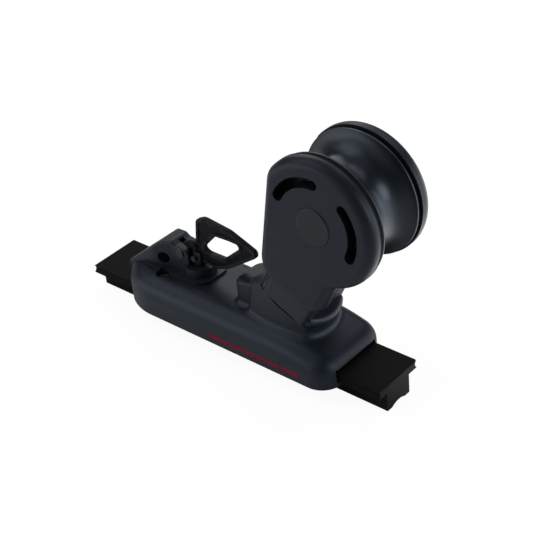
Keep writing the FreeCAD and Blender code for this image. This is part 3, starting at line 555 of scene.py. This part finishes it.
AXLE_BLACK = (0.0085, 0.010, 0.0118)
STEEL_GREY = (0.3, 0.3, 0.31)
STEEL_BLACKENED = (0.035, 0.038, 0.042)
axle_finish = turned("turned_axle", AXLE_BLACK, roughness=0.38, shine=0.29, tint=COATING_TINT)
steel_finish = turned("turned_steel", STEEL_GREY, roughness=0.3, metallic=1.0)
dark_steel_finish = turned("blackened_steel", STEEL_BLACKENED, roughness=0.36, shine=0.4, metallic=0.7)
print("turned about", [round(v / MM, 1) for v in SHEAVE_CENTRE])

# %% [markdown]
# ## The sheave
#
# The sheet runs in the groove and polishes its tread. The sides and the outer corners of the rims, which lie
# in the shade of the gaps beside the cheeks, are given painted shade: matt and nearly black. Both depend only
# on how far a point lies from the middle of the sheave, so two masks on that distance, one of them broken up
# by a noise, change the turned finish.

# %% The sheave
SHEAVE_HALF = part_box("sheave")[1].y - SHEAVE_CENTRE.y
SHEAVE_BLACK = (0.0055, 0.0068, 0.010)
RIM_SHADE_BLACK = (0.0008, 0.0009, 0.0012)
TREAD_POLISHED = (0.0085, 0.0105, 0.0145)
SIDE_FROM, SIDE_FULL = SHEAVE_HALF - 1.0 * MM, SHEAVE_HALF - 0.85 * MM
TREAD_FULL, TREAD_END = 3.5 * MM, 8.5 * MM
POLISH_PATCH = 5 * MM
POLISH_FROM, POLISH_FULL = 0.2, 0.6
SHEAVE_ROUGHNESS = 0.38
POLISH_SMOOTHS, SIDE_ROUGHENS = 0.07, 0.5


def make_sheave_finish():
    """Turned, with painted shade on the sides and outer corners of the rims, and a tread that the sheet has
    polished.
    """
    finish = turned("turned_sheave", SHEAVE_BLACK, SHEAVE_ROUGHNESS, tint=COATING_TINT)
    aside = (finish.y - SHEAVE_CENTRE.y).math("ABSOLUTE")
    # Painted shade: the sides and outer corners of the rims, shaded in the gaps beside the cheeks, go nearly
    # black.
    painted_rim_shade = aside.step(SIDE_FROM, SIDE_FULL)
    patchy = finish.noise(POLISH_PATCH, detail=3).step(POLISH_FROM, POLISH_FULL)
    polished = (1 - aside.step(TREAD_FULL, TREAD_END)) * patchy
    drift = finish.noise(TURNED_DRIFT, detail=2)
    groove = finish.mix(polished, SHEAVE_BLACK, TREAD_POLISHED)
    finish.set(Base_Color=finish.mix(painted_rim_shade, groove, RIM_SHADE_BLACK),
               Roughness=SHEAVE_ROUGHNESS + (drift - 0.5) * TURNED_DRIFT_ROUGHENS
               - polished * POLISH_SMOOTHS + painted_rim_shade * SIDE_ROUGHENS)
    return finish


sheave_finish = make_sheave_finish()
print("the sheave is", round(2 * SHEAVE_HALF / MM, 2), "mm wide")

# %% [markdown]
# ## Moulded plastic
#
# The end caps, the housing of the stop pin, the stub rail, the races, the washers and the balls are
# plastic. Moulding copies the skin of the tool, a soft grain without direction. The stub rail is extruded,
# so its grain is drawn out along the rail, which the same recipe does by squeezing X before the noise reads
# it.

# %% Moulded plastic
MOULD_DRIFT = 9 * MM
MOULD_DRIFT_ROUGHENS = 0.1


def moulded(name, base, roughness, shine=0.3, tint=NO_TINT, grain=0.3 * MM, depth=0.015 * MM, drawn=1.0):
    """Moulded or extruded plastic. drawn is how far its grain is stretched along the track."""
    recipe = Recipe(name)
    drift = recipe.noise(MOULD_DRIFT, detail=3)
    skin = recipe.noise(grain, detail=5, place=recipe.vector(recipe.x / drawn, recipe.y, recipe.z))
    recipe.set(Base_Color=recipe.mix(drift, base, paler(base, times=1.3, lift=0.0015)),
               Specular_IOR_Level=shine, Specular_Tint=tint,
               Roughness=roughness + (drift - 0.5) * MOULD_DRIFT_ROUGHENS)
    recipe.bump(skin, depth)
    return recipe


HOUSING_BLACK = (0.0066, 0.0084, 0.0120)
RAIL_BLACK = (0.0026, 0.0023, 0.0029)
WASHER_BLACK = (0.0030, 0.0034, 0.0042)
RACE_CREAM = (0.62, 0.6, 0.54)
BALL_BROWN = (0.26, 0.16, 0.07)
RAIL_DRAWN = 30.0
cap_finish = moulded("moulded_cap", BODY_BLACK, roughness=0.44, shine=0.27, tint=COATING_TINT)
housing_finish = moulded("moulded_housing", HOUSING_BLACK, roughness=0.42, shine=0.34, tint=COATING_TINT)
rail_finish = moulded("moulded_rail", RAIL_BLACK, roughness=0.6, shine=0.07, grain=0.5 * MM,
                      depth=0.03 * MM, drawn=RAIL_DRAWN)
race_finish = moulded("bearing_plastic", RACE_CREAM, roughness=0.4, shine=0.5)
washer_finish = moulded("moulded_washer", WASHER_BLACK, roughness=0.5, shine=0.15, tint=COATING_TINT)
ball_finish = moulded("ball_plastic", BALL_BROWN, roughness=0.3, shine=0.5)
print("moulded, the rail's grain drawn out", RAIL_DRAWN, "times")

# %% [markdown]
# ## Handing out the finishes
#
# Each node of the model names a material slot, and each slot has its finish here. A few nodes differ from
# the rest of their slot: the turret has a little more sheen than the body, the pins of the stop are
# blackened, and the washer under the turret is dark, because its edge is a dark line in the photograph.

# %% Every node gets its finish
FINISHES = {
    "rail_plastic": rail_finish, "body_alloy": body_finish, "cap_plastic": cap_finish,
    "housing_plastic": housing_finish, "lever_alloy": lever_finish, "stainless": steel_finish,
    "dark_pin": dark_steel_finish, "ball_plastic": ball_finish, "cheek_alloy": cheek_finish,
    "sheave_alloy": sheave_finish, "bearing_plastic": race_finish,
}
OWN_FINISH = {
    "block_base": turret_finish, "seat_washer": washer_finish, "axle": axle_finish, "axle_screw": axle_finish,
    "stop_pin": dark_steel_finish, "lift_pin": dark_steel_finish, "lever_pivot_pin": dark_steel_finish,
}
slot_of = {part["node"]: part["material_slot"] for part in frame["record"]["subparts"]}
for name, node in nodes.items():
    node.data.materials[0] = OWN_FINISH.get(name, FINISHES[slot_of[name]]).material
print("finished", len(nodes), "nodes by", len(FINISHES), "slots,", len(OWN_FINISH), "of them in their own way")

# %% [markdown]
# ## Pieces made by Geometry Nodes
#
# Two pieces are made here: one follows a surface and one follows a path. Geometry Nodes suit both, because
# each size is a named input of the tree, and a change of one rebuilds the piece. The result is then turned
# into a plain mesh, because the export keeps no modifiers.

# %% A tree that ends as a plain mesh
SOCKET_KINDS = {bpy.types.Object: "NodeSocketObject", bpy.types.Material: "NodeSocketMaterial",
                int: "NodeSocketInt", float: "NodeSocketFloat"}


class Shape(Tree):
    """A Geometry Nodes tree with named inputs."""

    def __init__(self, name, **inputs):
        super().__init__(bpy.data.node_groups.new(name, "GeometryNodeTree"))
        self.name, self.inputs, self.identifiers = name, inputs, {}
        self.tree.interface.new_socket("Geometry", in_out="OUTPUT", socket_type="NodeSocketGeometry")
        for label, value in inputs.items():
            kind = SOCKET_KINDS[type(value)]
            socket = self.tree.interface.new_socket(label, in_out="INPUT", socket_type=kind)
            self.identifiers[label] = socket.identifier
        self.given = self.node("NodeGroupInput")

    def size(self, label):
        return self.given.signal(label)

    def piece(self, geometry):
        """Ends the tree, runs it on an empty object and keeps the mesh that comes out."""
        real = self.node("GeometryNodeRealizeInstances", {}, {"Geometry": geometry})
        coat = {"Geometry": real.out(), "Material": self.size("Material")}
        painted = self.node("GeometryNodeSetMaterial", {}, coat)
        self.node("NodeGroupOutput", {}, {"Geometry": painted.out()})
        made = bpy.data.objects.new(self.name, bpy.data.meshes.new(self.name))
        bpy.context.scene.collection.objects.link(made)
        modifier = made.modifiers.new(self.name, "NODES")
        modifier.node_group = self.tree
        for label, value in self.inputs.items():
            modifier[self.identifiers[label]] = value
        seen = made.evaluated_get(bpy.context.evaluated_depsgraph_get())
        mesh = bpy.data.meshes.new_from_object(seen)
        # A mesh primitive brings an empty material slot of its own.
        for slot in reversed(range(len(mesh.materials))):
            if mesh.materials[slot] is None:
                mesh.materials.pop(index=slot)
        made.modifiers.clear()
        made.data = mesh
        print(self.name, len(mesh.polygons), "faces")
        return made


print("inputs can be", ", ".join(kind.__name__ for kind in SOCKET_KINDS))

# %% [markdown]
# ## The pin stripe
#
# The near wall carries a plain stripe low down. It is paint with a thickness of its own. A flat bar of many
# short lengths is laid on the wall: each of its corners shoots a ray at the wall along Y and goes where the
# ray lands, so the paint lies on the wall wherever the solid puts it. Its front end is round, its outer face
# is a little narrower than its foot, and its inner face lies just under the wall.

# %% The paint
STRIPE_RED, STRIPE_WORN = (0.2, 0.003, 0.024), (0.15, 0.003, 0.018)
PAINT_PATCH = 3 * MM
PAINT_FROM, PAINT_FULL = 0.3, 0.75
PAINT_ROUGHNESS, PAINT_SHINE, PAINT_DRIFT_ROUGHENS = 0.45, 0.08, 0.1


def make_stripe_paint():
    recipe = Recipe("stripe_paint")
    recoloured = recipe.noise(PAINT_PATCH, detail=5).step(PAINT_FROM, PAINT_FULL)
    recipe.set(Base_Color=recipe.mix(recoloured, STRIPE_RED, STRIPE_WORN), Specular_IOR_Level=PAINT_SHINE,
               Roughness=PAINT_ROUGHNESS + (recoloured - 0.5) * PAINT_DRIFT_ROUGHENS)
    return recipe


stripe_paint = make_stripe_paint()
print("paint", stripe_paint.material.name)

# %% The pin stripe
STRIPE_BACK, STRIPE_FRONT = -4.4 * MM, 49.6 * MM
STRIPE_LEVEL = 11.0 * MM
STRIPE_WIDTH = 1.9 * MM
STRIPE_THICKNESS = 0.06 * MM
STRIPE_SINK = 0.02 * MM
STRIPE_STEPS = 97
STRIPE_SHOULDER = 0.14
NARROWEST = 0.02
BAR_DEPTH = 1.0
RAY_START = cad_low.y - 10 * MM
RAY_LENGTH = 100 * MM
INTO_WALL = (0, 1, 0)


def make_stripe():
    shape = Shape("pin_stripe", Wall=nodes["car_body"], Back=STRIPE_BACK, Front=STRIPE_FRONT,
                  Level=STRIPE_LEVEL, Width=STRIPE_WIDTH, Thickness=STRIPE_THICKNESS, Sink=STRIPE_SINK,
                  Steps=STRIPE_STEPS, Material=stripe_paint.material)
    back, front, width = shape.size("Back"), shape.size("Front"), shape.size("Width")
    half = width / 2
    bar = shape.node("GeometryNodeMeshCube", {}, {
        "Size": shape.vector(front - back, BAR_DEPTH, width), "Vertices X": shape.size("Steps")})
    x, y, z = shape.split(shape.node("GeometryNodeInputPosition").out())
    x = x + (back + front) / 2
    past = ((x - (front - half)) / half).math("MAXIMUM", 0.0)
    reach = (1 - past * past).math("MAXIMUM", NARROWEST ** 2).math("SQRT")
    near = y.math("LESS_THAN", 0.0)
    z = shape.size("Level") + z * reach * (1 - near * STRIPE_SHOULDER)
    wall = shape.node("GeometryNodeObjectInfo", {"transform_space": "RELATIVE"},
                      {"Object": shape.size("Wall")})
    landing = shape.node("GeometryNodeRaycast", {}, {
        "Target Geometry": wall.out("Geometry"), "Source Position": shape.vector(x, RAY_START, z),
        "Ray Direction": INTO_WALL, "Ray Length": RAY_LENGTH}).out("Hit Position")
    depth = shape.split(landing)[1] - near * shape.size("Thickness") + (1 - near) * shape.size("Sink")
    laid = shape.node("GeometryNodeSetPosition", {}, {
        "Geometry": bar.out("Mesh"), "Position": shape.vector(x, depth, z)})
    return shape.piece(laid.out())


stripe = make_stripe()
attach(stripe, "car")

# %% [markdown]
# ## The stop pin's spring
#
# The imported coil can't shorten, so it stays behind when the lever lifts the pin. This one is a wire swept
# along a spiral.

# %% The stop pin's spring
SPRING_WIRE = 0.8 * MM
SPRING_TURNS = 5.0
WIRE_SIDES, TURN_STEPS = 12, 32
spring_low, spring_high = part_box("stop_spring")
spring_middle = (spring_low + spring_high) / 2
spring_length = spring_high.z - spring_low.z


def make_spring():
    outside = spring_high.x - spring_low.x
    shape = Shape("coil_spring", Radius=(outside - SPRING_WIRE) / 2, Height=spring_length - SPRING_WIRE,
                  Turns=SPRING_TURNS, Wire=SPRING_WIRE, Material=steel_finish.material)
    radius = shape.size("Radius")
    path = shape.node("GeometryNodeCurveSpiral", {}, {
        "Resolution": TURN_STEPS, "Rotations": shape.size("Turns"), "Start Radius": radius,
        "End Radius": radius, "Height": shape.size("Height")})
    wire = shape.node("GeometryNodeCurvePrimitiveCircle", {}, {
        "Resolution": WIRE_SIDES, "Radius": shape.size("Wire") / 2})
    coil = shape.node("GeometryNodeCurveToMesh", {}, {
        "Curve": path.out(), "Profile Curve": wire.out(), "Fill Caps": True})
    smooth = shape.node("GeometryNodeSetShadeSmooth", {}, {"Geometry": coil.out()})
    foot = (spring_middle.x, spring_middle.y, spring_low.z + SPRING_WIRE / 2)
    placed = shape.node("GeometryNodeTransform", {}, {"Geometry": smooth.out(), "Translation": foot})
    return shape.piece(placed.out())


spring = make_spring()
print("the spring is", round(spring_length / MM, 2), "mm long")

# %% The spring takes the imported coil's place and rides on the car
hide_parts("stop_spring")
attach(spring, "car")
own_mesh(spring)

# %% [markdown]
# ## The two boxes
#
# Looks must not change the size of the car. The box of all pieces, as they now are, is set beside the
# imported model's box, and how much wider it is is printed. Only the paint of the stripe stands proud of the
# imported model.

visual_low, visual_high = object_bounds()
wider = (visual_high - visual_low) - (cad_high - cad_low)
print("past the packed model in mm", [round(v / MM, 2) for v in wider])
